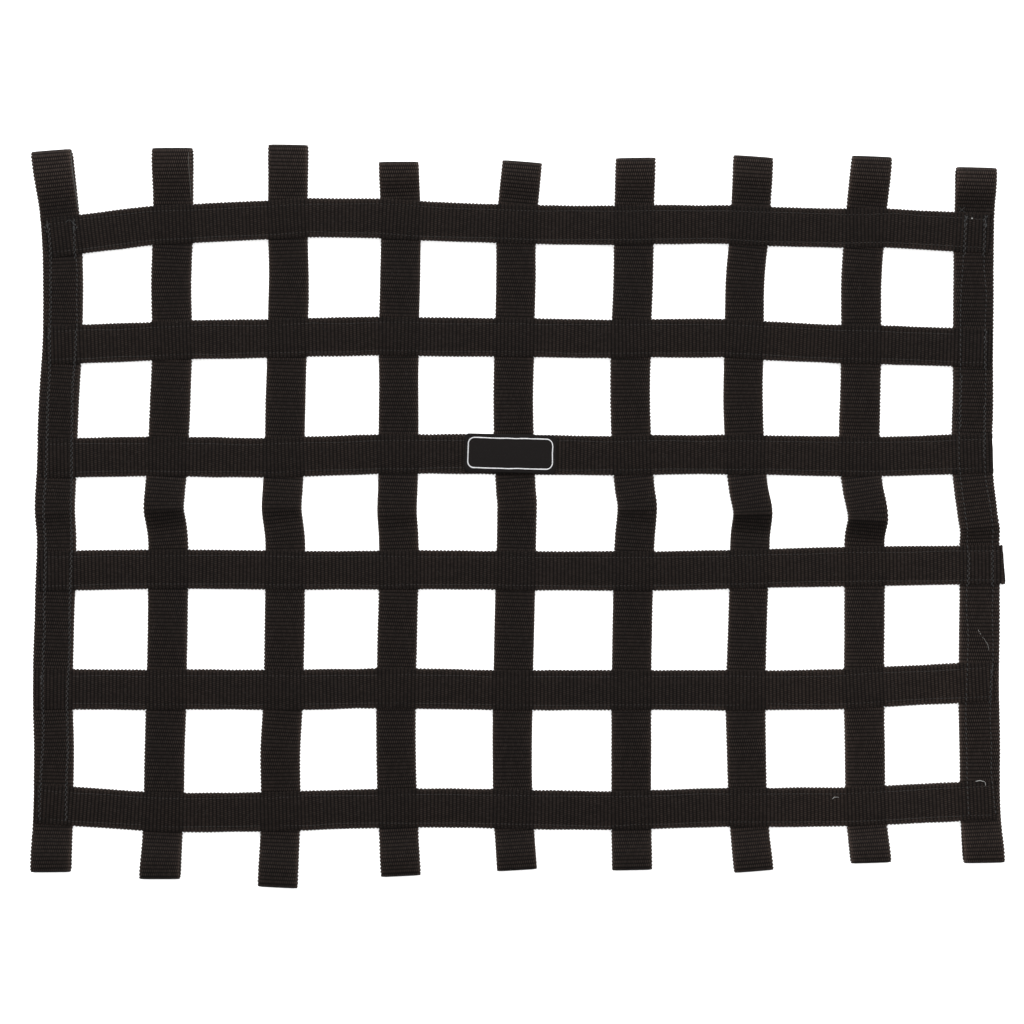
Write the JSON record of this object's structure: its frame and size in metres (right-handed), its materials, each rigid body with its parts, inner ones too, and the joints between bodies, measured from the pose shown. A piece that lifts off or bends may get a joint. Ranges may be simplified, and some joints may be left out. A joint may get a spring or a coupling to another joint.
{
  "type": "racing window net",
  "caption": "Rectangular net of crossed webbing straps laid flat, with empty loops along its top and bottom edges for the rods that hold it across a vehicle's side window opening.",
  "frame": {"origin": "centre of the net's laid outline, on the surface that it lies on", "axes": "+X along the cross straps, to the right as shown, +Y along the upright straps to the top loops, +Z out of the front face, where the cross straps and the badge lie"},
  "size_m": [0.6337, 0.4831, 0.009],
  "materials": {
    "webbing": "ribbed black webbing, matte with a faint sheen",
    "label": "fine woven black cloth with a white stitched border"
  },
  "bodies": {
    "root": {"vertical_strap_1": "webbing", "vertical_strap_2": "webbing", "vertical_strap_3": "webbing", "vertical_strap_4": "webbing", "vertical_strap_5": "webbing", "vertical_strap_6": "webbing", "vertical_strap_7": "webbing", "vertical_strap_8": "webbing", "vertical_strap_9": "webbing", "horizontal_strap_1": "webbing", "horizontal_strap_2": "webbing", "horizontal_strap_3": "webbing", "horizontal_strap_4": "webbing", "horizontal_strap_5": "webbing", "horizontal_strap_6": "webbing", "label_patch": "label"}
  },
  "joints": []
}
